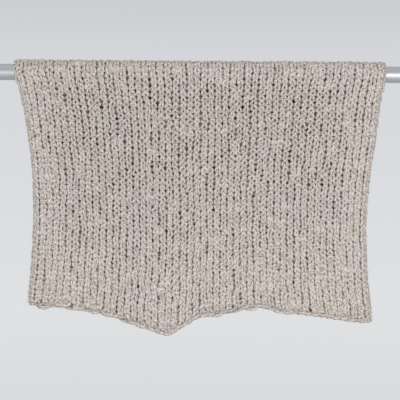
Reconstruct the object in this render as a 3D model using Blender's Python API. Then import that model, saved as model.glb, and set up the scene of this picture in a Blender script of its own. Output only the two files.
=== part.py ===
"""A chunky hand-knitted blanket hung over a round metal rod.

The blanket is one rectangle of plain knitting, 0.75 m wide and 1.0 m long. It hangs over the rod
with its right side out: a front fall, half a turn over the rod, and a slightly shorter back fall.
Knitting stretches, so both falls draw in below the rod, the front hem dips to the left of the
middle, and the side edges curl in towards the space between the falls.

Metres, +Z up. The origin is on the rod's axis at the middle of its length, the rod lies along X,
and the front fall is on the -Y side.
"""

import math

import bmesh
import bpy
import numpy as np

# The rod
ROD_RADIUS = 0.016
ROD_LENGTH = 0.90
ROD_CHAMFER = 0.001
ROD_SIDES = 64

# The cloth. FRONT_LENGTH is the flat length that hangs in front, and STRETCH_AT_ROD is how much
# more the cloth is stretched downwards there than halfway down
CLOTH_LENGTH = 1.0
CLOTH_THICKNESS = 0.008
RIM_ROUNDING = 0.0022
ROD_CLEARANCE = 0.0005
FRONT_LENGTH = 0.478
STRETCH_AT_ROD = 0.06
MID_RADIUS = ROD_RADIUS + ROD_CLEARANCE + CLOTH_THICKNESS / 2
ROD_ARC = math.pi * MID_RADIUS
BACK_LENGTH = CLOTH_LENGTH - FRONT_LENGTH - ROD_ARC

# Faces of the cloth: how many, and how much closer they stand at the side edges and the hems
FACE_COLUMNS = 42
FRONT_FACE_ROWS = 20
ROD_FACE_ROWS = 12
BACK_FACE_ROWS = 18
CLOSER_AT_SIDES = 0.45
CLOSER_AT_HEMS = 0.25

# Side edges of each fall: share of the way down, then the left and right half-widths in metres
FRONT_EDGES = (
    ("down", "left", "right"),
    (0.00, 0.370, 0.367),
    (0.10, 0.356, 0.357),
    (0.25, 0.340, 0.345),
    (0.40, 0.331, 0.334),
    (0.60, 0.327, 0.327),
    (0.80, 0.330, 0.330),
    (1.00, 0.338, 0.341),
)
BACK_EDGES = (
    ("down", "left", "right"),
    (0.00, 0.370, 0.367),
    (0.15, 0.350, 0.351),
    (0.40, 0.330, 0.333),
    (0.70, 0.325, 0.326),
    (1.00, 0.329, 0.328),
)

# Hems: place across the cloth, from -1 at the left edge to 1 at the right, and depth below the
# rod's axis in metres
FRONT_HEM = (
    ("across", "drop"),
    (-1.00, 0.456),
    (-0.93, 0.462),
    (-0.72, 0.466),
    (-0.50, 0.482),
    (-0.32, 0.502),
    (-0.18, 0.513),
    (-0.08, 0.498),
    (0.01, 0.481),
    (0.16, 0.475),
    (0.31, 0.463),
    (0.53, 0.473),
    (0.80, 0.484),
    (0.95, 0.490),
    (1.00, 0.484),
)
BACK_HEM = (
    ("across", "drop"),
    (-1.00, 0.440),
    (-0.60, 0.447),
    (-0.15, 0.436),
    (0.30, 0.449),
    (0.70, 0.440),
    (1.00, 0.436),
)

# Soft folds: middle and half-width as places across the cloth, height in metres with outwards
# positive, the share of the way down at which the fold starts, and how far it wanders across
FRONT_FOLDS = (
    ("middle", "half_width", "height", "start", "wander"),
    (-0.20, 0.24, 0.017, 0.10, -0.03),
    (0.04, 0.08, -0.006, 0.50, 0.05),
    (0.31, 0.17, -0.006, 0.25, 0.02),
    (0.66, 0.26, 0.010, 0.15, 0.05),
    (-0.74, 0.20, 0.005, 0.20, -0.04),
)
BACK_FOLDS = (
    ("middle", "half_width", "height", "start", "wander"),
    (-0.62, 0.22, 0.011, 0.12, -0.04),
    (-0.18, 0.18, -0.004, 0.30, 0.03),
    (0.24, 0.24, 0.013, 0.15, 0.02),
    (0.72, 0.18, 0.006, 0.25, 0.04),
)

# Plain knitting curls: its side edges turn inwards, more and more down to CURL_FULL_AT, and its
# hems turn out into a small lip. FLAT_ANGLE is what an edge that is still flat turns by
CURL_LENGTH = 0.022
CURL_ANGLE = math.radians(68)
FLAT_ANGLE = math.radians(0.01)
CURL_FULL_AT = 0.30
LIP_START = 0.955
LIP_REACH = 0.006

# Colours as linear RGB
YARN_COLOUR = (0.56, 0.50, 0.44, 1)
ROD_COLOUR = (0.62, 0.64, 0.66, 1)


def clear_scene():
    for item in list(bpy.data.objects):
        bpy.data.objects.remove(item)


def material(name, colour, roughness, metallic):
    made = bpy.data.materials.new(name)
    made.use_nodes = True
    shader = made.node_tree.nodes["Principled BSDF"]
    shader.inputs["Base Color"].default_value = colour
    shader.inputs["Roughness"].default_value = roughness
    shader.inputs["Metallic"].default_value = metallic
    return made


def columns(table):
    """The columns of a table as arrays, under the names in its first row."""
    names, *rows = table
    return dict(zip(names, np.array(rows).T))


def smooth_between(places, values, at):
    """A smooth curve through the values at the given places, with no overshoot, read at `at`."""
    widths = np.diff(places)
    slopes = np.diff(values) / widths
    tangents = np.zeros(len(values))
    same_way = slopes[:-1] * slopes[1:] > 0
    harmonic = 2 * slopes[:-1] * slopes[1:] / np.where(same_way, slopes[:-1] + slopes[1:], 1)
    tangents[1:-1] = np.where(same_way, harmonic, 0)
    tangents[0], tangents[-1] = slopes[0], slopes[-1]
    at = np.clip(at, places[0], places[-1])
    span = np.clip(np.searchsorted(places, at, side="right") - 1, 0, len(widths) - 1)
    width = widths[span]
    t = (at - places[span]) / width
    return (
        (1 + 2 * t) * (1 - t) ** 2 * values[span]
        + t * (1 - t) ** 2 * width * tangents[span]
        + t * t * (3 - 2 * t) * values[span + 1]
        - t * t * (1 - t) * width * tangents[span + 1]
    )


def ramp(x):
    """Rises smoothly from 0 at x = 0 to 1 at x = 1."""
    x = np.clip(x, 0, 1)
    return x * x * (3 - 2 * x)


def fold_height(folds, across, down):
    """How far the folds push the cloth outwards."""
    names, *rows = folds
    total = np.zeros(np.broadcast_shapes(np.shape(across), np.shape(down)))
    for row in rows:
        fold = dict(zip(names, row))
        middle = fold["middle"] + fold["wander"] * down
        crest = np.exp(-(((across - middle) / fold["half_width"]) ** 2))
        total += fold["height"] * crest * ramp((down - fold["start"]) / (1 - fold["start"]))
    return total


def fall(across, down, side, edges, hem, folds):
    """Points of one hanging fall. `down` is 0 at the rod and 1 at the hem; `side` is -1 in front."""
    edges, hem = columns(edges), columns(hem)
    left = smooth_between(edges["down"], edges["left"], down)
    right = smooth_between(edges["down"], edges["right"], down)
    half_width = np.where(across < 0, left, right)

    # The edge strip turns inwards on an arc, so the fall looks narrower than the strip is long
    angle = np.maximum(CURL_ANGLE * ramp(down / CURL_FULL_AT), FLAT_ANGLE)
    radius = CURL_LENGTH / angle
    straight = half_width - radius * np.sin(angle)
    reach = np.abs(across) * (straight + CURL_LENGTH)
    turned = np.maximum(reach - straight, 0) / radius
    x = np.sign(across) * (np.minimum(reach, straight) + radius * np.sin(turned))
    turned_in = radius * (1 - np.cos(turned))

    drop = smooth_between(hem["across"], hem["drop"], across)
    z = -drop * down * (1 + STRETCH_AT_ROD * (1 - down))
    lip = LIP_REACH * ramp((down - LIP_START) / (1 - LIP_START)) ** 2
    outwards = MID_RADIUS + fold_height(folds, across, down) + lip - turned_in
    return np.stack([x, side * outwards, z], axis=-1)


def over_rod(across, turn):
    """Points of the half turn over the rod. `turn` is 0 at the front and pi at the back."""
    edges = columns(FRONT_EDGES)
    half_width = np.where(across < 0, edges["left"][0], edges["right"][0])
    return np.stack(
        [across * half_width, -MID_RADIUS * np.cos(turn), MID_RADIUS * np.sin(turn)], axis=-1
    )


def draped(across, along):
    """The middle of the cloth. `along` is the flat distance from the front hem, in metres."""
    front = fall(across, 1 - along / FRONT_LENGTH, -1, FRONT_EDGES, FRONT_HEM, FRONT_FOLDS)
    top = over_rod(across, (along - FRONT_LENGTH) / MID_RADIUS)
    back_share = np.maximum(along - FRONT_LENGTH - ROD_ARC, 0) / BACK_LENGTH
    back = fall(across, back_share, 1, BACK_EDGES, BACK_HEM, BACK_FOLDS)
    on_front = (along < FRONT_LENGTH)[..., None]
    on_back = (along > FRONT_LENGTH + ROD_ARC)[..., None]
    return np.where(on_front, front, np.where(on_back, back, top))


def row_stops():
    """Flat distances from the front hem at which the rows of faces meet."""
    front = np.linspace(0, 1, FRONT_FACE_ROWS + 1)
    front = front - CLOSER_AT_HEMS * np.sin(math.pi * front) / math.pi
    back = np.linspace(0, 1, BACK_FACE_ROWS + 1)
    back = back + CLOSER_AT_HEMS * np.sin(math.pi * back) / math.pi
    top = np.linspace(0, ROD_ARC, ROD_FACE_ROWS + 1)
    return np.concatenate(
        [
            FRONT_LENGTH * front[:-1],
            FRONT_LENGTH + top[:-1],
            FRONT_LENGTH + ROD_ARC + BACK_LENGTH * back,
        ]
    )


def make_blanket():
    stops = row_stops()
    face_rows = len(stops) - 1
    cloth = bmesh.new()
    bmesh.ops.create_grid(cloth, x_segments=FACE_COLUMNS, y_segments=face_rows, size=1)
    grid = np.array([vertex.co[:2] for vertex in cloth.verts])
    across = grid[:, 0] + CLOSER_AT_SIDES * np.sin(math.pi * grid[:, 0]) / math.pi
    row = np.rint((grid[:, 1] + 1) / 2 * face_rows).astype(int)
    for vertex, place in zip(cloth.verts, draped(across, stops[row])):
        vertex.co = place
    bmesh.ops.recalc_face_normals(cloth, faces=cloth.faces)
    mesh = bpy.data.meshes.new("blanket")
    cloth.to_mesh(mesh)
    cloth.free()
    mesh.shade_smooth()
    blanket = bpy.data.objects.new("blanket", mesh)
    bpy.context.scene.collection.objects.link(blanket)
    blanket.data.materials.append(material("knitted yarn", YARN_COLOUR, 0.95, 0))

    thicken = blanket.modifiers.new("thickness", "SOLIDIFY")
    thicken.thickness = CLOTH_THICKNESS
    thicken.offset = 0
    thicken.use_even_offset = True
    rim = blanket.modifiers.new("rounded rim", "BEVEL")
    rim.width = RIM_ROUNDING
    rim.segments = 1
    rim.limit_method = "ANGLE"
    rim.angle_limit = math.radians(60)


def make_rod():
    bar = bmesh.new()
    bmesh.ops.create_cone(
        bar,
        segments=ROD_SIDES,
        radius1=ROD_RADIUS,
        radius2=ROD_RADIUS,
        depth=ROD_LENGTH,
        cap_ends=True,
    )
    top, bottom = (
        {vertex for vertex in bar.verts if vertex.co.z * end > 0} for end in (1, -1)
    )
    end_edges = [
        edge for edge in bar.edges if set(edge.verts) <= top or set(edge.verts) <= bottom
    ]
    bmesh.ops.bevel(bar, geom=end_edges, offset=ROD_CHAMFER, segments=1, affect="EDGES")
    mesh = bpy.data.meshes.new("rod")
    bar.to_mesh(mesh)
    bar.free()
    mesh.shade_smooth()
    mesh.set_sharp_from_angle(angle=math.radians(30))
    rod = bpy.data.objects.new("rod", mesh)
    rod.rotation_euler = (0, math.radians(90), 0)
    bpy.context.scene.collection.objects.link(rod)
    rod.data.materials.append(material("satin aluminium", ROD_COLOUR, 0.3, 1))


clear_scene()
make_rod()
make_blanket()
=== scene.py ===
"""A chunky hand-knitted blanket over a metal rod: the knitting, stitch by stitch, and its finishes.

The CAD blanket is a plain sheet in the shape in which the cloth hangs. Here the same drape carries
the real thing: one thick-and-thin yarn that runs back and forth through every row of plain
stitches, a chain of stitches at each hem, and a thin ground sheet that closes the knitting behind.
The ground sheet's dark colour is painted shade, for the shade seen through the holes.

Metres, +Z up, in the CAD frame: the rod lies along X on the origin, and the front fall is on -Y.
"""

import math

import bpy
import numpy as np
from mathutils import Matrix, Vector

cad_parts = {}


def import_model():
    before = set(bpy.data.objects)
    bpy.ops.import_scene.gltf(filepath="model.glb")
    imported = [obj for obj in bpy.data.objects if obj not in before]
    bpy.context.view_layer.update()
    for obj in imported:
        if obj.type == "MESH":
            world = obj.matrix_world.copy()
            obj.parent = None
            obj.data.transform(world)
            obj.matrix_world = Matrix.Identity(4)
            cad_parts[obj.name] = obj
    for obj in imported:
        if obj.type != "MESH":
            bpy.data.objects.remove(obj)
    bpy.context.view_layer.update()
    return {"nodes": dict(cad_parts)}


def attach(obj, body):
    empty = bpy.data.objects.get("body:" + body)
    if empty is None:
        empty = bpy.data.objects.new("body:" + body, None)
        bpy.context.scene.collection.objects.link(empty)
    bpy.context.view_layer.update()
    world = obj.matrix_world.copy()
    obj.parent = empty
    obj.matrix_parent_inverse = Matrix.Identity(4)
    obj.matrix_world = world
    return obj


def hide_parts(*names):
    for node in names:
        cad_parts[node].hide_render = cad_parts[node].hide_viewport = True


# The photograph: a level camera in front of the blanket, a little below the rod. The picture is
# SPAN wide at the rod, whose right end hangs ROLL lower in the picture
CAMERA_DISTANCE = 2.5
CAMERA_BELOW_ROD = 0.250
SPAN = 0.790
ROLL = math.radians(0.42)
SENSOR = 36.0

# The cloth as it was knitted, flat: its size, its stitches, and the room that the sheet's edge
# leaves for the yarn's turns and for the chain at each hem
CLOTH_WIDTH = 0.75
CLOTH_LENGTH = 1.0
CLOTH_THICKNESS = 0.008
WALES = 50
COURSES = 94
CHAIN_HEIGHT = 0.0092
SIDE_INSET = 0.0065
COURSE = (CLOTH_LENGTH - 2 * CHAIN_HEIGHT) / COURSES

# The drape, as the CAD solid has it
ROD_RADIUS = 0.016
ROD_CLEARANCE = 0.0005
MID_RADIUS = ROD_RADIUS + ROD_CLEARANCE + CLOTH_THICKNESS / 2
ROD_ARC = math.pi * MID_RADIUS
FRONT_LENGTH = 0.478
BACK_LENGTH = CLOTH_LENGTH - FRONT_LENGTH - ROD_ARC
STRETCH_AT_ROD = 0.06
CURL_LENGTH = 0.022
CURL_ANGLE = math.radians(68)
FLAT_ANGLE = math.radians(0.01)
CURL_FULL_AT = 0.30
LIP_START = 0.955
LIP_REACH = 0.006

# Side edges of each fall: share of the way down, then the left and right half-widths
FRONT_EDGES = (
    ("down", "left", "right"),
    (0.00, 0.370, 0.367),
    (0.10, 0.356, 0.357),
    (0.25, 0.340, 0.345),
    (0.40, 0.331, 0.334),
    (0.60, 0.327, 0.327),
    (0.80, 0.330, 0.330),
    (1.00, 0.338, 0.341),
)
BACK_EDGES = (
    ("down", "left", "right"),
    (0.00, 0.370, 0.367),
    (0.15, 0.350, 0.351),
    (0.40, 0.330, 0.333),
    (0.70, 0.325, 0.326),
    (1.00, 0.329, 0.328),
)

# Hems: place across the cloth, from -1 at the left edge to 1 at the right, and depth below the rod
FRONT_HEM = (
    ("across", "drop"),
    (-1.00, 0.456),
    (-0.93, 0.462),
    (-0.72, 0.466),
    (-0.50, 0.482),
    (-0.32, 0.502),
    (-0.18, 0.513),
    (-0.08, 0.498),
    (0.01, 0.481),
    (0.16, 0.475),
    (0.31, 0.463),
    (0.53, 0.473),
    (0.80, 0.484),
    (0.95, 0.490),
    (1.00, 0.484),
)
BACK_HEM = (
    ("across", "drop"),
    (-1.00, 0.440),
    (-0.60, 0.447),
    (-0.15, 0.436),
    (0.30, 0.449),
    (0.70, 0.440),
    (1.00, 0.436),
)

# Soft folds: middle and half-width as places across the cloth, height with outwards positive, the
# share of the way down at which the fold starts, and how far it wanders across
FRONT_FOLDS = (
    ("middle", "half_width", "height", "start", "wander"),
    (-0.20, 0.24, 0.017, 0.10, -0.03),
    (0.04, 0.08, -0.006, 0.50, 0.05),
    (0.31, 0.17, -0.006, 0.25, 0.02),
    (0.66, 0.26, 0.010, 0.15, 0.05),
    (-0.74, 0.20, 0.005, 0.20, -0.04),
)
BACK_FOLDS = (
    ("middle", "half_width", "height", "start", "wander"),
    (-0.62, 0.22, 0.011, 0.12, -0.04),
    (-0.18, 0.18, -0.004, 0.30, 0.03),
    (0.24, 0.24, 0.013, 0.15, 0.02),
    (0.72, 0.18, 0.006, 0.25, 0.04),
)

# One plain stitch. Widths across are shares of a wale, heights are shares of a course, and the
# yarn's half-widths are in metres. A stitch gathers its two legs towards its middle, which opens
# the holes between the wales, and ROUNDER_HOLE bows them so that those holes are round.
# KNITTED_TOWARDS_HEM is 1 where the stitches point down in front
LOOP_HEIGHT = 1.45
LEG_SLANT = 0.22
LEG_GATHER = 0.06
ROUNDER_HOLE = 0.018
LOOP_DEPTH = 0.0026
YARN_HALF_WIDTH = 0.0029
YARN_HALF_DEPTH = 0.0026
KNITTED_TOWARDS_HEM = 1
STEPS_A_STITCH = 14
SIDES = 6

# The yarn's turn from one row to the next: how many wales it reaches past the last stitch, its
# steps, how much thinner the yarn is there, and from how many wales before it
TURN_REACH = 0.04
TURN_STEPS = 3
TURN_THINNER = 0.25
TURN_THINNER_FROM = 0.5

# The steps, in wales and in metres, over which the cloth's slope is measured
STEP_ACROSS = 0.02
STEP_ALONG = 0.0002

# The knitting closes up towards its sides, its hems and the rod: over how many wales and courses,
# and there, how much fuller the yarn is and how much less its legs slant and gather
CLOSER_WALES = 7.0
CLOSER_BY_ROD = 7.0
FULLER_WHERE_CLOSED = 0.42
STRAIGHTER_WHERE_CLOSED = 0.35
LESS_GATHER_WHERE_CLOSED = 0.30

# How open the knitting is at so many courses from a hem, from 0 closed to 1 open
OPEN_FROM_HEM = (
    ("courses", "open"),
    (0.0, 0.0),
    (4.0, 0.08),
    (8.0, 0.3),
    (16.0, 0.65),
    (30.0, 0.95),
)

# How uneven the hand knitting is: the share of a wale, a course or its own size by which each
# thing varies, and over how many wales and courses
UNEVEN = (
    ("what", "share", "wales", "courses"),
    ("wale wander", 0.07, 2.6, 7.0),
    ("stitch shift across", 0.10, 0.8, 1.1),
    ("row wander", 0.03, 5.0, 2.0),
    ("stitch shift along", 0.11, 0.9, 1.0),
    ("loop height", 0.10, 1.0, 1.0),
    ("leg slant", 0.18, 1.0, 1.0),
    ("loop depth", 0.16, 1.0, 1.0),
)

# The wanders and shifts fade out over so many wales from the sides and courses from the hems
STEADY_WALES = 2
STEADY_COURSES = 3

# The unevenness is read from a table of this many cells each way, beginning this many cells in,
# and never passes this many times its share
NOISE_CELLS = 256
NOISE_MARGIN = 8
NOISE_LIMIT = 1.8

# The thick-and-thin yarn. Its slubs come every SLUB_STITCHES stitches, with weaker and slower ones
# under them. A short puff comes once in PUFF_EVERY stitches, PUFF_STITCHES stitches to each side,
# ends PUFF_REACH stitches from its middle, and stands out of the cloth by a share of PUFF_PROUD, in
# metres. LUMPS is how rough its skin is
SLUB_SHARE = 0.11
SLUB_STITCHES = 0.55
SLOWER_SLUB_SHARE = 0.25
SLOWER_SLUB_STRETCH = 3.1
PUFF_SHARE = 0.55
PUFF_STITCHES = 0.55
PUFF_REACH = 2.5
PUFF_EVERY = 36
PUFF_PROUD = 0.0016
THINNEST = 0.66
THICKEST = 1.65
LUMPS = 0.12

# Where each piece's random draws start
SEEDS = {
    "slubs": 17,
    "lumps": 43,
    "front_hem_chain": 29,
    "back_hem_chain": 31,
    "left_selvedge": 37,
    "right_selvedge": 41,
    "stray_fibres": 53,
}

# The yarn is one length, parted into pieces of a few rows each so that none is too heavy
YARN_PIECES = 5

# A chain link at a hem: one for each wale, each lying on the tail of the one before. LINK_LENGTH,
# LINK_WANDER and LINK_INSIDE, its distance from the cloth's sides, are in wales. LINK_TILT raises
# its head, and LINK_LIFT of that the whole link, and LINK_ROLL raises the side towards the hem.
# LINK_PINCH is how much narrower its tail is, and LINK_OUT_OF_LINE how far it strays up or down
LINK_LENGTH = 1.45
LINK_HALF_HEIGHT = 0.0031
LINK_TILT = 0.0024
LINK_ROLL = 0.0020
LINK_YARN = 0.0031
LINK_UNEVEN = 0.45
LINK_OUT_OF_LINE = 0.0013
LINK_WANDER = 0.05
LINK_INSIDE = 0.4
LINK_LIFT = 0.6
LINK_PINCH = 0.35
LINK_PROUD_UNEVEN = 0.0003
LINK_YARN_UNEVEN = 0.16
LINK_YARN_FLATTER = 0.85
LINK_STEPS = 16

# The yarn in a link, in metres, for the pattern on it, and where in the pattern the next begins
LINK_YARN_LENGTH = 0.048
NEXT_LINK = 0.05

# The edge stitches up the two sides, from SELVEDGE_FROM courses inside the first and last row. They
# wander by a share of a wale, bead by a share of their yarn, and lie so many wales inwards
SELVEDGE_STEPS = 6
SELVEDGE_FROM = 0.6
SELVEDGE_WANDER = 0.08
SELVEDGE_SMOOTHING = 9
SELVEDGE_BEADS = 0.18
SELVEDGE_YARN = 0.0026
SELVEDGE_INWARDS = -0.06

# Stray fibres: where they root, as a middle and a reach to each side, in wales and flat metres, how
# many there are, which way they stand, and how much that varies
OVER_ROD = FRONT_LENGTH + ROD_ARC / 2
STRAY_FIBRES = (
    ("wale", "wales", "along", "reach", "count", "sideways", "upwards", "outwards", "spread"),
    (WALES / 2, WALES / 2, 0.005, 0.003, 1100, 0.0, -1.0, 0.5, 0.6),
    (WALES / 2, WALES / 2, CLOTH_LENGTH - 0.005, 0.003, 700, 0.0, 1.0, 0.5, 0.6),
    (0.15, 0.15, CLOTH_LENGTH / 2, CLOTH_LENGTH / 2 - 0.005, 700, -1.0, 0.0, 0.5, 0.6),
    (WALES - 0.15, 0.15, CLOTH_LENGTH / 2, CLOTH_LENGTH / 2 - 0.005, 700, 1.0, 0.0, 0.5, 0.6),
    (WALES / 2, WALES / 2, OVER_ROD, ROD_ARC / 2 - 0.005, 900, 0.0, 0.0, 1.0, 0.8),
    (WALES / 2, WALES / 2, CLOTH_LENGTH / 2, CLOTH_LENGTH / 2 - 0.01, 2000, 0.0, 0.0, 0.7, 1.0),
)

# A fibre is FIBRE_LENGTH long times a share between FIBRE_LENGTHS, and roots FIBRE_ROOT outside the
# cloth's middle. FIBRE_OUT_SPREAD is the share of its spread that goes outwards, and NEXT_FIBRE is
# where the next one begins in the yarn's pattern, in metres
FIBRE_LENGTH = 0.0052
FIBRE_ROOT = 0.0025
FIBRE_CURL = 0.45
FIBRE_RADIUS = 0.00014
FIBRE_STEPS = 3
FIBRE_SIDES = 3
FIBRE_LENGTHS = (0.5, 1.4)
FIBRE_TAPER = 0.6
FIBRE_OUT_SPREAD = 0.3
NEXT_FIBRE = 0.01

# The ground sheet behind the stitches, dark with painted shade where it shows in the holes. It ends
# GROUND_INSET wales inside the sides
GROUND_THICKNESS = 0.0010
GROUND_INWARDS = 0.0014
GROUND_INSET = 0.25
GROUND_ACROSS = 64
GROUND_ALONG = 120

# The locks of fibre on the yarn's surface. The yarn's patterns are scaled for each metre along it
# and each turn round its 17 mm girth, so a lock is 3.6 mm long and 2.1 mm wide. Then come how much
# of the pattern lies dark between locks, their relief in metres, and how dark and light they are
LOCK_SCALE = (280.0, 8.16, 1.0)
LOCK_DETAIL = 2.0
LOCK_FROM = 0.42
LOCK_TO = 0.485
LOCK_RELIEF = 0.0016
LOCK_DARKEST = 0.43
LOCK_LIGHTEST = 1.06

# The yarn's flanks are painted darker than its crest, as painted shade: how far round from the
# crest that starts and ends, in turns, and how dark the painted shade on the flanks is
FLANK_FROM = 0.08
FLANK_TO = 0.25
PAINTED_FLANK_SHADE = 0.68

# The yarn keeps this far from the rod's surface, in metres
ROD_GAP = 0.0003

# Yarn colours, from the warmer patches of the fleece to the cooler ones, 80 mm across. The tone
# drifts a little every 15 mm of yarn
OATMEAL = "#C9C0B5"
PALE_GREY_BROWN = "#C9BFB8"
PATCH_SCALE = 12.0
DRIFT_SCALE = (65.0, 0.6, 1.0)
DRIFT = 0.02

# Tweed flecks: 2.4 mm by 1.9 mm cells, of which the middles show, 1 to 2 mm long
FLECK = "#5E4F42"
FLECK_SCALE = (420.0, 9.0, 1.0)
FLECK_FROM = 0.66
FLECK_FULL_AT = 0.71
FLECK_STRENGTH = 0.7

# What shows in the holes: painted shade, in dark brown wool tones mottled every 9 mm
PAINTED_HOLE_SHADE_DARK = "#2C2318"
PAINTED_HOLE_SHADE_LIGHT = "#8C7E6F"
HOLE_SCALE = 110.0

# The rod's finish. Real drawing lines are finer than they can show here, so these are drawn
# about 1 mm apart and run 0.3 m along it
ROD_COLOUR = "#B2B4B7"
ROD_ROUGHNESS = (0.40, 0.50)
DRAWN_LINES_SCALE = (3.0, 900.0, 900.0)

# The soft lamp in front, which also draws the line of light along the rod, and the pale
# surroundings, whose colour depends on the height of the direction looked in, from -1 straight
# down to 1 straight up
LAMP_POWER = 31.3
LAMP_SIZE = (1.6, 1.2)
LAMP_PLACE = (0.5, -2.6, -0.55)
LAMP_AIM = (0, 0, -0.25)
SURROUNDINGS = (
    ("height", "colour"),
    (-0.60, "#C6C8CB"),
    (-0.25, "#CFD1D4"),
    (-0.09, "#DFE1E3"),
    (0.10, "#D6D8DC"),
    (0.35, "#9A9DA4"),
    (1.00, "#646C78"),
)

# The surroundings are brightest in this direction, in front and to the left, by this factor. They
# start to brighten where the cosine of the angle from it is BRIGHT_SIDE_FROM
BRIGHT_SIDE = (-0.6, -0.8, 0.0)
BRIGHT_SIDE_STRENGTH = 1.6
BRIGHT_SIDE_FROM = 0.1

FLOOR_COLOUR = "#F5F6F8"
FLOOR_BELOW_ROD = 1.50
FLOOR_SIZE = 6.0


def linear(hex_colour):
    """An sRGB hex colour as linear RGBA."""
    channels = [int(hex_colour[i : i + 2], 16) / 255 for i in (1, 3, 5)]
    rgb = (c / 12.92 if c <= 0.04045 else ((c + 0.055) / 1.055) ** 2.4 for c in channels)
    return (*rgb, 1)


def columns(table):
    """The columns of a table as arrays, under the names in its first row."""
    names, *rows = table
    return dict(zip(names, np.array(rows).T))


def smooth_between(places, values, at):
    """A smooth curve through the values at the given places, with no overshoot, read at `at`."""
    widths = np.diff(places)
    slopes = np.diff(values) / widths
    tangents = np.zeros(len(values))
    same_way = slopes[:-1] * slopes[1:] > 0
    harmonic = 2 * slopes[:-1] * slopes[1:] / np.where(same_way, slopes[:-1] + slopes[1:], 1)
    tangents[1:-1] = np.where(same_way, harmonic, 0)
    tangents[0], tangents[-1] = slopes[0], slopes[-1]
    at = np.clip(at, places[0], places[-1])
    span = np.clip(np.searchsorted(places, at, side="right") - 1, 0, len(widths) - 1)
    width = widths[span]
    t = (at - places[span]) / width
    return (
        (1 + 2 * t) * (1 - t) ** 2 * values[span]
        + t * (1 - t) ** 2 * width * tangents[span]
        + t * t * (3 - 2 * t) * values[span + 1]
        - t * t * (1 - t) * width * tangents[span + 1]
    )


def ramp(x):
    """Rises smoothly from 0 at x = 0 to 1 at x = 1."""
    x = np.clip(x, 0, 1)
    return x * x * (3 - 2 * x)


# The drape


def fold_height(folds, across, down):
    """How far the folds push the cloth outwards."""
    names, *rows = folds
    total = np.zeros(np.broadcast_shapes(np.shape(across), np.shape(down)))
    for row in rows:
        fold = dict(zip(names, row))
        middle = fold["middle"] + fold["wander"] * down
        crest = np.exp(-(((across - middle) / fold["half_width"]) ** 2))
        total += fold["height"] * crest * ramp((down - fold["start"]) / (1 - fold["start"]))
    return total


def fall(across, down, side, edges, hem, folds):
    """Points of one hanging fall. `down` is 0 at the rod and 1 at the hem, `side` -1 in front."""
    edges, hem = columns(edges), columns(hem)
    left = smooth_between(edges["down"], edges["left"], down)
    right = smooth_between(edges["down"], edges["right"], down)
    half_width = np.where(across < 0, left, right)

    # The edge strip turns inwards on an arc, so the fall looks narrower than the strip is long
    angle = np.maximum(CURL_ANGLE * ramp(down / CURL_FULL_AT), FLAT_ANGLE)
    radius = CURL_LENGTH / angle
    straight = half_width - radius * np.sin(angle)
    reach = np.abs(across) * (straight + CURL_LENGTH)
    turned = np.maximum(reach - straight, 0) / radius
    x = np.sign(across) * (np.minimum(reach, straight) + radius * np.sin(turned))
    turned_in = radius * (1 - np.cos(turned))

    drop = smooth_between(hem["across"], hem["drop"], across)
    z = -drop * down * (1 + STRETCH_AT_ROD * (1 - down))
    lip = LIP_REACH * ramp((down - LIP_START) / (1 - LIP_START)) ** 2
    outwards = MID_RADIUS + fold_height(folds, across, down) + lip - turned_in
    return np.stack([x, side * outwards, z], axis=-1)


def over_rod(across, turn):
    """Points of the half turn over the rod. `turn` is 0 at the front and pi at the back."""
    edges = columns(FRONT_EDGES)
    half_width = np.where(across < 0, edges["left"][0], edges["right"][0])
    return np.stack(
        [across * half_width, -MID_RADIUS * np.cos(turn), MID_RADIUS * np.sin(turn)], axis=-1
    )


def draped(across, along):
    """The middle of the cloth. `along` is the flat distance from the front hem, in metres."""
    front = fall(across, 1 - along / FRONT_LENGTH, -1, FRONT_EDGES, FRONT_HEM, FRONT_FOLDS)
    top = over_rod(across, (along - FRONT_LENGTH) / MID_RADIUS)
    back_share = np.maximum(along - FRONT_LENGTH - ROD_ARC, 0) / BACK_LENGTH
    back = fall(across, back_share, 1, BACK_EDGES, BACK_HEM, BACK_FOLDS)
    on_front = (along < FRONT_LENGTH)[..., None]
    on_back = (along > FRONT_LENGTH + ROD_ARC)[..., None]
    return np.where(on_front, front, np.where(on_back, back, top))


def knitted_place(wale, along):
    """A point of the cloth's middle from wales counted from the left edge and flat metres."""
    knit_half_width = CLOTH_WIDTH / 2 - SIDE_INSET
    across = (2 * wale / WALES - 1) * knit_half_width / (CLOTH_WIDTH / 2)
    return draped(across, along)


def unit(vectors):
    return vectors / np.linalg.norm(vectors, axis=-1, keepdims=True)


def rightwards(wale, along):
    """A short step to the right along the cloth."""
    return knitted_place(wale + STEP_ACROSS, along) - knitted_place(wale - STEP_ACROSS, along)


def cloth_normal(wale, along):
    """The outward direction of the cloth at a point."""
    upwards = knitted_place(wale, along + STEP_ALONG) - knitted_place(wale, along - STEP_ALONG)
    return unit(np.cross(rightwards(wale, along), upwards))


# Unevenness


def soft_noise(name, wale, course):
    """A smooth, seeded noise over the cloth, about its share of UNEVEN in size."""
    names, *rows = UNEVEN
    settings = {row[0]: dict(zip(names, row)) for row in rows}[name]
    seed = [row[0] for row in rows].index(name)
    table = np.random.default_rng(seed).normal(size=(NOISE_CELLS, NOISE_CELLS))
    x = wale / settings["wales"] + NOISE_MARGIN
    y = course / settings["courses"] + NOISE_MARGIN
    x_cell, y_cell = np.floor(x).astype(int), np.floor(y).astype(int)
    x_part, y_part = ramp(x - x_cell), ramp(y - y_cell)
    low = table[y_cell, x_cell] * (1 - x_part) + table[y_cell, x_cell + 1] * x_part
    high = table[y_cell + 1, x_cell] * (1 - x_part) + table[y_cell + 1, x_cell + 1] * x_part
    noise = low * (1 - y_part) + high * y_part
    return settings["share"] * np.clip(noise, -NOISE_LIMIT, NOISE_LIMIT)


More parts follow.
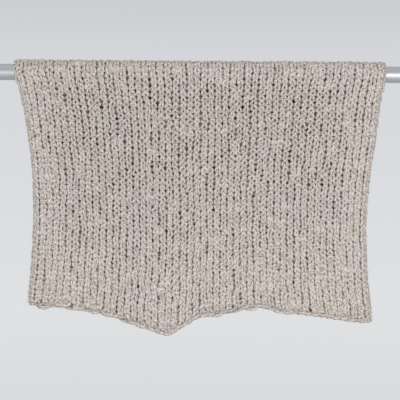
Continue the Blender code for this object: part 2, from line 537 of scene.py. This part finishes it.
def slub(stitches):
    """How thick the yarn is, from the stitches knitted before: about 1, with slow thick and thin
    lengths and here and there a short puff."""
    random = np.random.default_rng(SEEDS["slubs"])
    count = int(WALES * COURSES / SLUB_STITCHES) + NOISE_MARGIN
    total = np.zeros(len(stitches))
    slower = (SLUB_SHARE * SLOWER_SLUB_SHARE, SLOWER_SLUB_STRETCH)
    for share, stretch in ((SLUB_SHARE, 1.0), slower):
        values = random.normal(size=count)
        place = stitches / (SLUB_STITCHES * stretch)
        cell = np.floor(place).astype(int)
        part = ramp(place - cell)
        total += share * (values[cell] * (1 - part) + values[cell + 1] * part)
    puffs = random.uniform(0, WALES * COURSES, WALES * COURSES // PUFF_EVERY)
    for puff in puffs:
        near = np.abs(stitches - puff) < PUFF_REACH
        total[near] += PUFF_SHARE * np.exp(-(((stitches[near] - puff) / PUFF_STITCHES) ** 2))
    return np.clip(1 + total, THINNEST, THICKEST)


def openness(wale, course):
    """How open the knitting is: 1 inside each fall, and least along the sides, hems and rod."""
    side = ramp(np.minimum(wale, WALES - wale) / CLOSER_WALES)
    table = columns(OPEN_FROM_HEM)
    hem = smooth_between(table["courses"], table["open"], np.minimum(course, COURSES - course))
    rod_course = (FRONT_LENGTH + ROD_ARC / 2 - CHAIN_HEIGHT) / COURSE
    rod = ramp((np.abs(course - rod_course) - 1) / CLOSER_BY_ROD)
    return side * hem * rod


# Yarn


def yarn_path():
    """The whole yarn's middle, row after row and back, as arrays with a value for each step: wales
    from the left edge, courses from the front hem, metres outwards, and stitches knitted before."""
    steps = WALES * STEPS_A_STITCH
    turn = 2 * math.pi * np.arange(steps + 1) / STEPS_A_STITCH
    up = -KNITTED_TOWARDS_HEM
    wales, courses, outwards, stitches, rows = [], [], [], [], []
    for row in range(COURSES):
        middle = row + 0.5
        t = turn if row % 2 == 0 else turn[::-1]
        base = t / (2 * math.pi)
        nearest = np.floor(base - 0.5) + 0.5
        closed = 1 - openness(base, middle)
        slant = LEG_SLANT * (1 + soft_noise("leg slant", nearest, middle))
        slant = slant * (1 - STRAIGHTER_WHERE_CLOSED * closed)
        height = LOOP_HEIGHT * (1 + soft_noise("loop height", nearest, middle))
        depth = LOOP_DEPTH * (1 + soft_noise("loop depth", base, middle))
        gather = LEG_GATHER * (1 - LESS_GATHER_WHERE_CLOSED * closed)
        wale = base + slant * np.sin(2 * t) + gather * np.sin(t)
        wale = wale - ROUNDER_HOLE * (np.sin(3 * t) + np.sin(4 * t))
        course = middle - up * height / 2 * np.cos(t)
        outward = -depth * np.cos(2 * t)
        wales.append(wale)
        courses.append(course)
        outwards.append(outward)
        stitches.append(row * WALES + np.arange(steps + 1) / STEPS_A_STITCH)
        rows.append(np.full(steps + 1, row))
        if row < COURSES - 1:
            side = 1 if row % 2 == 0 else -1
            half_turn = math.pi * np.arange(1, TURN_STEPS + 1) / (TURN_STEPS + 1)
            wales.append(wale[-1] + side * TURN_REACH * np.sin(half_turn))
            courses.append(course[-1] + (1 - np.cos(half_turn)) / 2)
            outwards.append(outward[-1] * np.cos(2 * half_turn))
            stitches.append(np.full(TURN_STEPS, (row + 1.0) * WALES))
            rows.append(np.full(TURN_STEPS, row))
    wales, courses, outwards, stitches, rows = map(
        np.concatenate, (wales, courses, outwards, stitches, rows)
    )
    inner = ramp(wales / STEADY_WALES) * ramp((WALES - wales) / STEADY_WALES)
    wales = wales + inner * soft_noise("wale wander", wales, courses)
    wales = wales + inner * soft_noise("stitch shift across", wales, courses)
    inner = ramp(courses / STEADY_COURSES) * ramp((COURSES - courses) / STEADY_COURSES)
    courses = courses + inner * soft_noise("row wander", wales, courses)
    courses = courses + inner * soft_noise("stitch shift along", wales, courses)
    return wales, courses, outwards, stitches, rows


def tube(middle, normal, half_width, half_depth, lumps, length_before):
    """A tube along a path, flattened in the cloth's plane, with its lumps as a share for each
    point of each ring. Its UV map runs in metres along the yarn and once round it, from behind."""
    ahead = unit(np.gradient(middle, axis=0))
    sideways = unit(np.cross(normal, ahead))
    outwards = np.cross(ahead, sideways)
    angle = 2 * math.pi * np.arange(SIDES) / SIDES - math.pi / 2
    across_yarn = half_width[:, None] * lumps * np.cos(angle)
    through_yarn = half_depth[:, None] * lumps * np.sin(angle)
    rings = (
        middle[:, None]
        + across_yarn[..., None] * sideways[:, None]
        + through_yarn[..., None] * outwards[:, None]
    )
    points = keep_off_rod(rings.reshape(-1, 3))

    count = len(middle)
    ring = np.arange(count - 1)[:, None] * SIDES
    side = np.arange(SIDES)[None, :]
    following = (side + 1) % SIDES
    next_ring = ring + SIDES
    corners = [ring + side, ring + following, next_ring + following, next_ring + side]
    faces = np.stack(corners, -1).reshape(-1, 4)
    along = np.concatenate([[0], np.cumsum(np.linalg.norm(np.diff(middle, axis=0), axis=1))])
    along = along + length_before
    u = np.stack([along[:-1], along[:-1], along[1:], along[1:]], -1)[:, None, :].repeat(SIDES, 1)
    v = np.stack([side, side + 1, side + 1, side], -1)[0] / SIDES
    v = v[None].repeat(count - 1, 0)
    uv = np.stack([u, v], -1).reshape(-1, 2)
    return points, faces, uv, along[-1]


def keep_off_rod(points):
    """Moves points that would touch the rod straight outwards from its axis."""
    distance = np.hypot(points[:, 1], points[:, 2])
    push = np.maximum((ROD_RADIUS + ROD_GAP) / distance, 1)
    points[:, 1] *= push
    points[:, 2] *= push
    return points


def mesh_piece(name, points, faces, uv, ends):
    """A smooth mesh from arrays of points and quads, with its UV map and its closing end faces."""
    mesh = bpy.data.meshes.new(name)
    mesh.vertices.add(len(points))
    mesh.vertices.foreach_set("co", points.astype(np.float32).ravel())
    corners = len(faces) * 4 + sum(len(end) for end in ends)
    mesh.loops.add(corners)
    mesh.loops.foreach_set("vertex_index", np.concatenate([faces.ravel(), *ends]).astype(np.int32))
    mesh.polygons.add(len(faces) + len(ends))
    sizes = np.concatenate([np.full(len(faces), 4), [len(end) for end in ends]]).astype(np.int32)
    starts = np.concatenate([[0], np.cumsum(sizes)[:-1]]).astype(np.int32)
    mesh.polygons.foreach_set("loop_start", starts)
    layer = mesh.uv_layers.new(name="UVMap")
    all_uv = np.zeros((corners, 2), np.float32)
    all_uv[: len(uv)] = uv
    layer.data.foreach_set("uv", all_uv.ravel())
    mesh.update(calc_edges=True)
    mesh.validate()
    mesh.shade_smooth()
    piece = bpy.data.objects.new(name, mesh)
    bpy.context.scene.collection.objects.link(piece)
    return piece


def make_yarn(material):
    """The knitted yarn, parted between rows into YARN_PIECES pieces."""
    wales, courses, outwards, stitches, rows = yarn_path()
    along = CHAIN_HEIGHT + courses * COURSE
    normal = cloth_normal(wales, along)
    thickness = slub(stitches)
    outwards = outwards + PUFF_PROUD * (thickness - 1)
    middle = knitted_place(wales, along) + outwards[:, None] * normal
    fuller = 1 + FULLER_WHERE_CLOSED * (1 - openness(wales, courses))
    in_turn = 1 - ramp(np.minimum(wales, WALES - wales) / TURN_THINNER_FROM)
    slim = (1 - in_turn) + in_turn * (1 - TURN_THINNER) / np.maximum(thickness * fuller, 1)
    half_width = YARN_HALF_WIDTH * thickness * fuller * slim
    half_depth = YARN_HALF_DEPTH * np.sqrt(thickness) * slim
    random = np.random.default_rng(SEEDS["lumps"])
    lumps = 1 + LUMPS * random.uniform(-1, 1, (len(wales), SIDES))
    pieces = []
    borders = np.round(np.linspace(0, COURSES, YARN_PIECES + 1)).astype(int)
    length = 0.0
    for number, (first, last) in enumerate(zip(borders[:-1], borders[1:]), 1):
        part = np.flatnonzero((rows >= first) & (rows < last))
        if part[-1] < len(rows) - 1:
            part = np.append(part, part[-1] + 1)
        name = f"yarn_rows_{number}"
        points, faces, uv, length = tube(
            middle[part], normal[part], half_width[part], half_depth[part], lumps[part], length
        )
        ends = [np.arange(SIDES)[::-1], len(points) - SIDES + np.arange(SIDES)]
        piece = mesh_piece(name, points, faces, uv, ends)
        piece.data.materials.append(material)
        pieces.append(piece)
    return pieces


def make_hem_chain(name, hem_along, towards_cloth, material):
    """The chain of stitches along a hem, one closed link for each wale."""
    turn = 2 * math.pi * np.arange(LINK_STEPS) / LINK_STEPS
    side_angle = 2 * math.pi * np.arange(SIDES) / SIDES - math.pi / 2
    random = np.random.default_rng(SEEDS[name])
    points, faces, uv = [], [], []
    for link in range(WALES):
        size = 1 + random.uniform(-LINK_UNEVEN, LINK_UNEVEN)
        centre = link + 0.5 + random.normal(0, LINK_WANDER)
        wale = centre + LINK_LENGTH / 2 * np.cos(turn)
        wale = np.clip(wale, LINK_INSIDE, WALES - LINK_INSIDE)
        pinch = 1 - LINK_PINCH * (1 - np.cos(turn)) / 2
        across_hem = LINK_HALF_HEIGHT * size * np.sin(turn) * pinch
        from_hem = LINK_HALF_HEIGHT + LINK_YARN + random.normal(0, LINK_OUT_OF_LINE)
        along = hem_along + towards_cloth * (from_hem + across_hem)
        normal = cloth_normal(wale, along)
        outward = LINK_TILT * (LINK_LIFT + np.cos(turn)) - LINK_ROLL * np.sin(turn)
        outward = outward + random.normal(0, LINK_PROUD_UNEVEN)
        middle = knitted_place(wale, along) + outward[:, None] * normal
        ahead = unit(np.roll(middle, -1, 0) - np.roll(middle, 1, 0))
        sideways = unit(np.cross(normal, ahead))
        outwards = np.cross(ahead, sideways)
        thickness = 1 + LINK_YARN_UNEVEN * np.sin(turn + random.uniform(0, 6))
        radius = (LINK_YARN * size * thickness)[:, None, None]
        depth = LINK_YARN_FLATTER * radius
        rings = (
            middle[:, None]
            + radius * np.cos(side_angle)[None, :, None] * sideways[:, None]
            + depth * np.sin(side_angle)[None, :, None] * outwards[:, None]
        )
        first = link * LINK_STEPS * SIDES
        ring = np.arange(LINK_STEPS)[:, None]
        side = np.arange(SIDES)[None, :]
        next_ring, next_side = (ring + 1) % LINK_STEPS, (side + 1) % SIDES
        quads = np.stack(
            [
                ring * SIDES + side,
                ring * SIDES + next_side,
                next_ring * SIDES + next_side,
                next_ring * SIDES + side,
            ],
            -1,
        )
        step = LINK_YARN_LENGTH / LINK_STEPS
        begin = link * NEXT_LINK + ring * step + 0 * side
        v = np.stack([side, side + 1, side + 1, side], -1) / SIDES + 0 * ring[..., None]
        u = np.stack([begin, begin, begin + step, begin + step], -1)
        points.append(rings.reshape(-1, 3))
        faces.append(first + quads.reshape(-1, 4))
        uv.append(np.stack([u, v], -1).reshape(-1, 2))
    piece = mesh_piece(name, np.concatenate(points), np.concatenate(faces), np.concatenate(uv), [])
    piece.data.materials.append(material)
    return piece


def make_selvedge(name, wale, material):
    """The chain of edge stitches up one side, each two rows tall."""
    course = np.arange(SELVEDGE_FROM, COURSES - SELVEDGE_FROM, 1 / SELVEDGE_STEPS)
    two_rows = math.pi * course
    random = np.random.default_rng(SEEDS[name])
    smoothing = np.hanning(SELVEDGE_SMOOTHING) / 2
    wander = np.convolve(random.normal(size=len(course)), smoothing, "same")
    wales = wale + SELVEDGE_WANDER * (np.sin(two_rows) + wander)
    along = CHAIN_HEIGHT + course * COURSE
    normal = cloth_normal(wales, along)
    middle = knitted_place(wales, along)
    radius = SELVEDGE_YARN * (1 + SELVEDGE_BEADS * np.cos(2 * two_rows))
    lumps = 1 + LUMPS * random.uniform(-1, 1, (len(course), SIDES))
    points, faces, uv, _ = tube(middle, normal, radius, radius, lumps, 0.0)
    ends = [np.arange(SIDES)[::-1], len(points) - SIDES + np.arange(SIDES)]
    piece = mesh_piece(name, points, faces, uv, ends)
    piece.data.materials.append(material)
    return piece


def make_stray_fibres(material):
    """Loose fibres that stand off the yarn: thick along the hems, the sides and the rod, and thin
    over the whole cloth."""
    random = np.random.default_rng(SEEDS["stray_fibres"])
    names, *rows = STRAY_FIBRES
    wales, alongs, sideways, upwards, outwards = [], [], [], [], []
    for row in rows:
        place = dict(zip(names, row))
        count, spread = place["count"], place["spread"]
        wales.append(place["wale"] + place["wales"] * random.uniform(-1, 1, count))
        alongs.append(place["along"] + place["reach"] * random.uniform(-1, 1, count))
        varied = random.normal(0, 1, (3, count))
        sideways.append(place["sideways"] + spread * varied[0])
        upwards.append(place["upwards"] + spread * varied[1])
        outwards.append(place["outwards"] + FIBRE_OUT_SPREAD * spread * np.abs(varied[2]))
    wale, along, aside, up, out = map(np.concatenate, (wales, alongs, sideways, upwards, outwards))

    normal = cloth_normal(wale, along)
    across = unit(rightwards(wale, along))
    towards_back = np.cross(normal, across)
    lie = unit(aside[:, None] * across + up[:, None] * towards_back + out[:, None] * normal)
    bend = unit(random.normal(size=lie.shape))
    length = FIBRE_LENGTH * random.uniform(*FIBRE_LENGTHS, len(wale))
    root = knitted_place(wale, along) + FIBRE_ROOT * normal
    share = np.linspace(0, 1, FIBRE_STEPS + 1)
    path = (
        root[:, None]
        + length[:, None, None] * share[None, :, None] * lie[:, None]
        + FIBRE_CURL * length[:, None, None] * (share**2)[None, :, None] * bend[:, None]
    )
    first = unit(np.cross(lie, bend))
    second = np.cross(lie, first)
    radius = FIBRE_RADIUS * (1 - FIBRE_TAPER * share)
    angle = 2 * math.pi * np.arange(FIBRE_SIDES) / FIBRE_SIDES
    rings = path[:, :, None] + radius[None, :, None, None] * (
        np.cos(angle)[None, None, :, None] * first[:, None, None]
        + np.sin(angle)[None, None, :, None] * second[:, None, None]
    )
    points = keep_off_rod(rings.reshape(-1, 3))
    size = (FIBRE_STEPS + 1) * FIBRE_SIDES
    ring = FIBRE_SIDES * np.arange(FIBRE_STEPS)[:, None]
    side = np.arange(FIBRE_SIDES)[None, :]
    following = (side + 1) % FIBRE_SIDES
    next_ring = ring + FIBRE_SIDES
    corners = [ring + side, ring + following, next_ring + following, next_ring + side]
    quads = np.stack(corners, -1).reshape(-1, 4)
    starts = size * np.arange(len(wale))
    faces = (starts[:, None, None] + quads[None]).reshape(-1, 4)
    u = np.repeat(NEXT_FIBRE * np.arange(len(wale)), quads.size)
    uv = np.stack([u, np.full(faces.size, 0.5)], -1)
    last_ring = size - FIBRE_SIDES
    ends = [start + np.arange(FIBRE_SIDES)[::-1] for start in starts]
    ends += [start + last_ring + np.arange(FIBRE_SIDES) for start in starts]
    piece = mesh_piece("stray_fibres", points, faces, uv, ends)
    piece.data.materials.append(material)
    return piece


def make_ground(material):
    """The thin closed sheet behind the stitches, as long and wide as the knitting, in painted
    shade.
    """
    wale, along = np.meshgrid(
        np.linspace(GROUND_INSET, WALES - GROUND_INSET, GROUND_ACROSS + 1),
        np.linspace(CHAIN_HEIGHT / 2, CLOTH_LENGTH - CHAIN_HEIGHT / 2, GROUND_ALONG + 1),
    )
    wale, along = wale.ravel(), along.ravel()
    points = knitted_place(wale, along) - GROUND_INWARDS * cloth_normal(wale, along)
    row = np.arange(GROUND_ALONG)[:, None] * (GROUND_ACROSS + 1)
    column = np.arange(GROUND_ACROSS)[None, :]
    corner = row + column
    faces = np.stack(
        [corner, corner + 1, corner + GROUND_ACROSS + 2, corner + GROUND_ACROSS + 1], -1
    ).reshape(-1, 4)
    uv = np.stack([wale[faces] / WALES * CLOTH_WIDTH, along[faces]], -1).reshape(-1, 2)
    ground = mesh_piece("knit_ground", points, faces, uv, [])
    ground.data.materials.append(material)
    bpy.context.view_layer.objects.active = ground
    thicken = ground.modifiers.new("thickness", "SOLIDIFY")
    thicken.thickness = GROUND_THICKNESS
    thicken.offset = 0
    bpy.ops.object.modifier_apply(modifier=thicken.name)
    return ground


# Finishes


def new_material(name):
    """An empty material and its Principled shader."""
    made = bpy.data.materials.new(name)
    made.use_nodes = True
    return made, made.node_tree.nodes["Principled BSDF"]


def node(material, kind, inputs=(), **settings):
    """Adds a shader node. Each input is a value or another node's output."""
    made = material.node_tree.nodes.new(kind)
    for name, value in settings.items():
        setattr(made, name, value)
    for name, value in dict(inputs).items():
        join(material, made, name, value)
    return made


def join(material, made, name, value):
    """Sets a node's input to a value, or links another node's output to it."""
    socket = made.inputs[name]
    if isinstance(value, bpy.types.NodeSocket):
        material.node_tree.links.new(value, socket)
    else:
        socket.default_value = value


def yarn_material():
    """Soft single-ply wool-blend roving: matt, a little fuzzy, undyed oatmeal with tweed flecks."""
    made, shader = new_material("wool-blend roving")
    place = node(made, "ShaderNodeTexCoord")
    patches = node(
        made,
        "ShaderNodeTexNoise",
        {"Vector": place.outputs["Object"], "Scale": PATCH_SCALE, "Detail": 2.0, "Roughness": 0.5},
    )
    patch_share = node(
        made,
        "ShaderNodeMapRange",
        {"Value": patches.outputs["Fac"], "From Min": 0.36, "From Max": 0.64},
    )
    tone = node(
        made,
        "ShaderNodeMix",
        {
            "Factor": patch_share.outputs["Result"],
            6: linear(OATMEAL),
            7: linear(PALE_GREY_BROWN),
        },
        data_type="RGBA",
    )

    # Single fibres are too fine to show, so they are drawn as the loose locks that they lie in
    lock_place = node(
        made,
        "ShaderNodeMapping",
        {"Vector": place.outputs["UV"], "Scale": LOCK_SCALE},
    )
    fibres = node(
        made,
        "ShaderNodeTexNoise",
        {
            "Vector": lock_place.outputs["Vector"],
            "Scale": 1.0,
            "Detail": LOCK_DETAIL,
            "Roughness": 0.6,
        },
    )
    drift_place = node(
        made,
        "ShaderNodeMapping",
        {"Vector": place.outputs["UV"], "Scale": DRIFT_SCALE},
    )
    drift = node(
        made,
        "ShaderNodeTexNoise",
        {"Vector": drift_place.outputs["Vector"], "Scale": 1.0, "Detail": 2.0},
    )
    drift_share = node(
        made,
        "ShaderNodeMapRange",
        {
            "Value": drift.outputs["Fac"],
            "From Min": 0.3,
            "From Max": 0.7,
            "To Min": 1 - DRIFT,
            "To Max": 1 + DRIFT,
        },
    )
    fibre_share = node(
        made,
        "ShaderNodeMapRange",
        {
            "Value": fibres.outputs["Fac"],
            "From Min": LOCK_FROM,
            "From Max": LOCK_TO,
            "To Min": LOCK_DARKEST,
            "To Max": LOCK_LIGHTEST,
        },
    )
    both = node(
        made,
        "ShaderNodeMath",
        {0: drift_share.outputs["Result"], 1: fibre_share.outputs["Result"]},
        operation="MULTIPLY",
    )

    # Round the yarn, 0.5 is its crest, and either way from there painted shade darkens it
    round_yarn = node(made, "ShaderNodeSeparateXYZ", {"Vector": place.outputs["UV"]})
    from_crest = node(
        made, "ShaderNodeMath", {0: round_yarn.outputs["Y"], 1: 0.5}, operation="SUBTRACT"
    )
    either_way = node(
        made, "ShaderNodeMath", {0: from_crest.outputs["Value"]}, operation="ABSOLUTE"
    )
    # Painted shade on the yarn's flanks, which darkens its colour towards its sides
    painted_flank_shade = node(
        made,
        "ShaderNodeMapRange",
        {
            "Value": either_way.outputs["Value"],
            "From Min": FLANK_FROM,
            "From Max": FLANK_TO,
            "To Min": 1.0,
            "To Max": PAINTED_FLANK_SHADE,
        },
    )
    # The locks' tone times the painted shade on the flanks
    shades = node(
        made,
        "ShaderNodeMath",
        {0: both.outputs["Value"], 1: painted_flank_shade.outputs["Result"]},
        operation="MULTIPLY",
    )
    toned = node(
        made,
        "ShaderNodeMix",
        {"Factor": 1.0, 6: tone.outputs[2], 7: shades.outputs["Value"]},
        data_type="RGBA",
        blend_type="MULTIPLY",
    )

    fleck_place = node(
        made,
        "ShaderNodeMapping",
        {"Vector": place.outputs["UV"], "Scale": FLECK_SCALE},
    )
    flecks = node(
        made,
        "ShaderNodeTexNoise",
        {"Vector": fleck_place.outputs["Vector"], "Scale": 1.0, "Detail": 1.0},
    )
    fleck_share = node(
        made,
        "ShaderNodeMapRange",
        {
            "Value": flecks.outputs["Fac"],
            "From Min": FLECK_FROM,
            "From Max": FLECK_FULL_AT,
            "To Max": FLECK_STRENGTH,
        },
    )
    coloured = node(
        made,
        "ShaderNodeMix",
        {"Factor": fleck_share.outputs["Result"], 6: toned.outputs[2], 7: linear(FLECK)},
        data_type="RGBA",
    )
    relief = node(
        made,
        "ShaderNodeBump",
        {"Height": fibres.outputs["Fac"], "Strength": 1.0, "Distance": LOCK_RELIEF},
    )
    join(made, shader, "Base Color", coloured.outputs[2])
    join(made, shader, "Normal", relief.outputs["Normal"])
    shader.inputs["Roughness"].default_value = 0.95
    shader.inputs["Specular IOR Level"].default_value = 0.15
    shader.inputs["Sheen Weight"].default_value = 0.06
    shader.inputs["Sheen Roughness"].default_value = 0.5
    return made


def painted_shade_ground_material():
    """Painted shade for the inside of the knitting, where yarn lies behind yarn: a dark mottled
    colour in place of the shade seen in the holes.
    """
    made, shader = new_material("painted shade behind the stitches")
    place = node(made, "ShaderNodeTexCoord")
    mottle = node(
        made,
        "ShaderNodeTexNoise",
        {"Vector": place.outputs["UV"], "Scale": HOLE_SCALE, "Detail": 2.0},
    )
    share = node(
        made,
        "ShaderNodeMapRange",
        {"Value": mottle.outputs["Fac"], "From Min": 0.38, "From Max": 0.66},
    )
    tone = node(
        made,
        "ShaderNodeMix",
        {"Factor": share.outputs["Result"], 6: linear(PAINTED_HOLE_SHADE_DARK), 7: linear(PAINTED_HOLE_SHADE_LIGHT)},
        data_type="RGBA",
    )
    join(made, shader, "Base Color", tone.outputs[2])
    shader.inputs["Roughness"].default_value = 1.0
    shader.inputs["Specular IOR Level"].default_value = 0.0
    return made


def rod_material():
    """Drawn aluminium rail, satin anodised: soft reflections, with fine drawing lines along it."""
    made, shader = new_material("satin anodised aluminium")
    place = node(made, "ShaderNodeTexCoord")
    lines_place = node(
        made,
        "ShaderNodeMapping",
        {"Vector": place.outputs["Object"], "Scale": DRAWN_LINES_SCALE},
    )
    lines = node(
        made,
        "ShaderNodeTexNoise",
        {"Vector": lines_place.outputs["Vector"], "Scale": 1.0, "Detail": 2.0},
    )
    roughness = node(
        made,
        "ShaderNodeMapRange",
        {
            "Value": lines.outputs["Fac"],
            "To Min": ROD_ROUGHNESS[0],
            "To Max": ROD_ROUGHNESS[1],
        },
    )
    relief = node(
        made,
        "ShaderNodeBump",
        {"Height": lines.outputs["Fac"], "Strength": 0.10, "Distance": 0.00001},
    )
    join(made, shader, "Roughness", roughness.outputs["Result"])
    join(made, shader, "Normal", relief.outputs["Normal"])
    shader.inputs["Base Color"].default_value = linear(ROD_COLOUR)
    shader.inputs["Metallic"].default_value = 1.0
    return made


def floor_material():
    """Matt white emulsion paint, the plain floor under the object."""
    made, shader = new_material("pale matt floor")
    shader.inputs["Base Color"].default_value = linear(FLOOR_COLOUR)
    shader.inputs["Roughness"].default_value = 0.9
    return made


# The scene round the object


def make_floor():
    half = FLOOR_SIZE / 2
    corners = [(-half, -half), (half, -half), (half, half), (-half, half)]
    mesh = bpy.data.meshes.new("floor")
    mesh.from_pydata([(x, y, -FLOOR_BELOW_ROD) for x, y in corners], [], [(0, 1, 2, 3)])
    floor = bpy.data.objects.new("floor", mesh)
    bpy.context.scene.collection.objects.link(floor)
    floor.data.materials.append(floor_material())


def make_camera():
    data = bpy.data.cameras.new("camera")
    data.sensor_width = SENSOR
    data.lens = SENSOR * CAMERA_DISTANCE / SPAN
    camera = bpy.data.objects.new("camera", data)
    camera.location = (0, -CAMERA_DISTANCE, -CAMERA_BELOW_ROD)
    camera.rotation_euler = (math.radians(90), -ROLL, 0)
    bpy.context.scene.collection.objects.link(camera)
    bpy.context.scene.camera = camera


def make_light():
    """The soft oblong lamp, turned towards the blanket."""
    data = bpy.data.lights.new("soft lamp", "AREA")
    data.energy = LAMP_POWER
    data.shape = "RECTANGLE"
    data.size, data.size_y = LAMP_SIZE
    lamp = bpy.data.objects.new("soft lamp", data)
    lamp.location = LAMP_PLACE
    aim = Vector(LAMP_AIM) - Vector(LAMP_PLACE)
    lamp.rotation_euler = aim.to_track_quat("-Z", "Y").to_euler()
    bpy.context.scene.collection.objects.link(lamp)


def make_world():
    """Pale surroundings, shaded by height and brighter on one side."""
    world = bpy.data.worlds.new("pale surroundings")
    world.use_nodes = True
    nodes, links = world.node_tree.nodes, world.node_tree.links
    direction = nodes.new("ShaderNodeTexCoord")
    parts = nodes.new("ShaderNodeSeparateXYZ")
    share = nodes.new("ShaderNodeMapRange")
    share.inputs["From Min"].default_value = -1.0
    shades = nodes.new("ShaderNodeValToRGB")
    names, *rows = SURROUNDINGS
    for row in rows:
        stop = dict(zip(names, row))
        place = (stop["height"] + 1) / 2
        shades.color_ramp.elements.new(place).color = linear(stop["colour"])
    shades.color_ramp.elements.remove(shades.color_ramp.elements[0])
    shades.color_ramp.elements.remove(shades.color_ramp.elements[-1])
    links.new(direction.outputs["Generated"], parts.inputs["Vector"])
    links.new(parts.outputs["Z"], share.inputs["Value"])
    links.new(share.outputs["Result"], shades.inputs["Fac"])
    links.new(shades.outputs["Color"], nodes["Background"].inputs["Color"])

    towards = nodes.new("ShaderNodeVectorMath")
    towards.operation = "DOT_PRODUCT"
    towards.inputs[1].default_value = BRIGHT_SIDE
    strength = nodes.new("ShaderNodeMapRange")
    strength.interpolation_type = "SMOOTHSTEP"
    strength.inputs["From Min"].default_value = BRIGHT_SIDE_FROM
    strength.inputs["To Min"].default_value = 1.0
    strength.inputs["To Max"].default_value = BRIGHT_SIDE_STRENGTH
    links.new(direction.outputs["Generated"], towards.inputs[0])
    links.new(towards.outputs["Value"], strength.inputs["Value"])
    links.new(strength.outputs["Result"], nodes["Background"].inputs["Strength"])
    bpy.context.scene.world = world


def main():
    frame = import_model()
    bpy.context.scene.view_settings.view_transform = "Standard"
    bpy.ops.object.select_all(action="DESELECT")
    make_camera()
    make_world()
    make_light()
    make_floor()

    frame["nodes"]["rod"].data.materials.clear()
    frame["nodes"]["rod"].data.materials.append(rod_material())
    yarn = yarn_material()
    knitting = make_yarn(yarn)
    knitting.append(make_hem_chain("front_hem_chain", 0.0, 1, yarn))
    knitting.append(make_hem_chain("back_hem_chain", CLOTH_LENGTH, -1, yarn))
    knitting.append(make_selvedge("left_selvedge", SELVEDGE_INWARDS, yarn))
    knitting.append(make_selvedge("right_selvedge", WALES - SELVEDGE_INWARDS, yarn))
    knitting.append(make_stray_fibres(yarn))
    # The ground sheet, coloured with painted shade
    ground = make_ground(painted_shade_ground_material())
    for piece in knitting + [ground]:
        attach(piece, "root")
    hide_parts("blanket")


main()
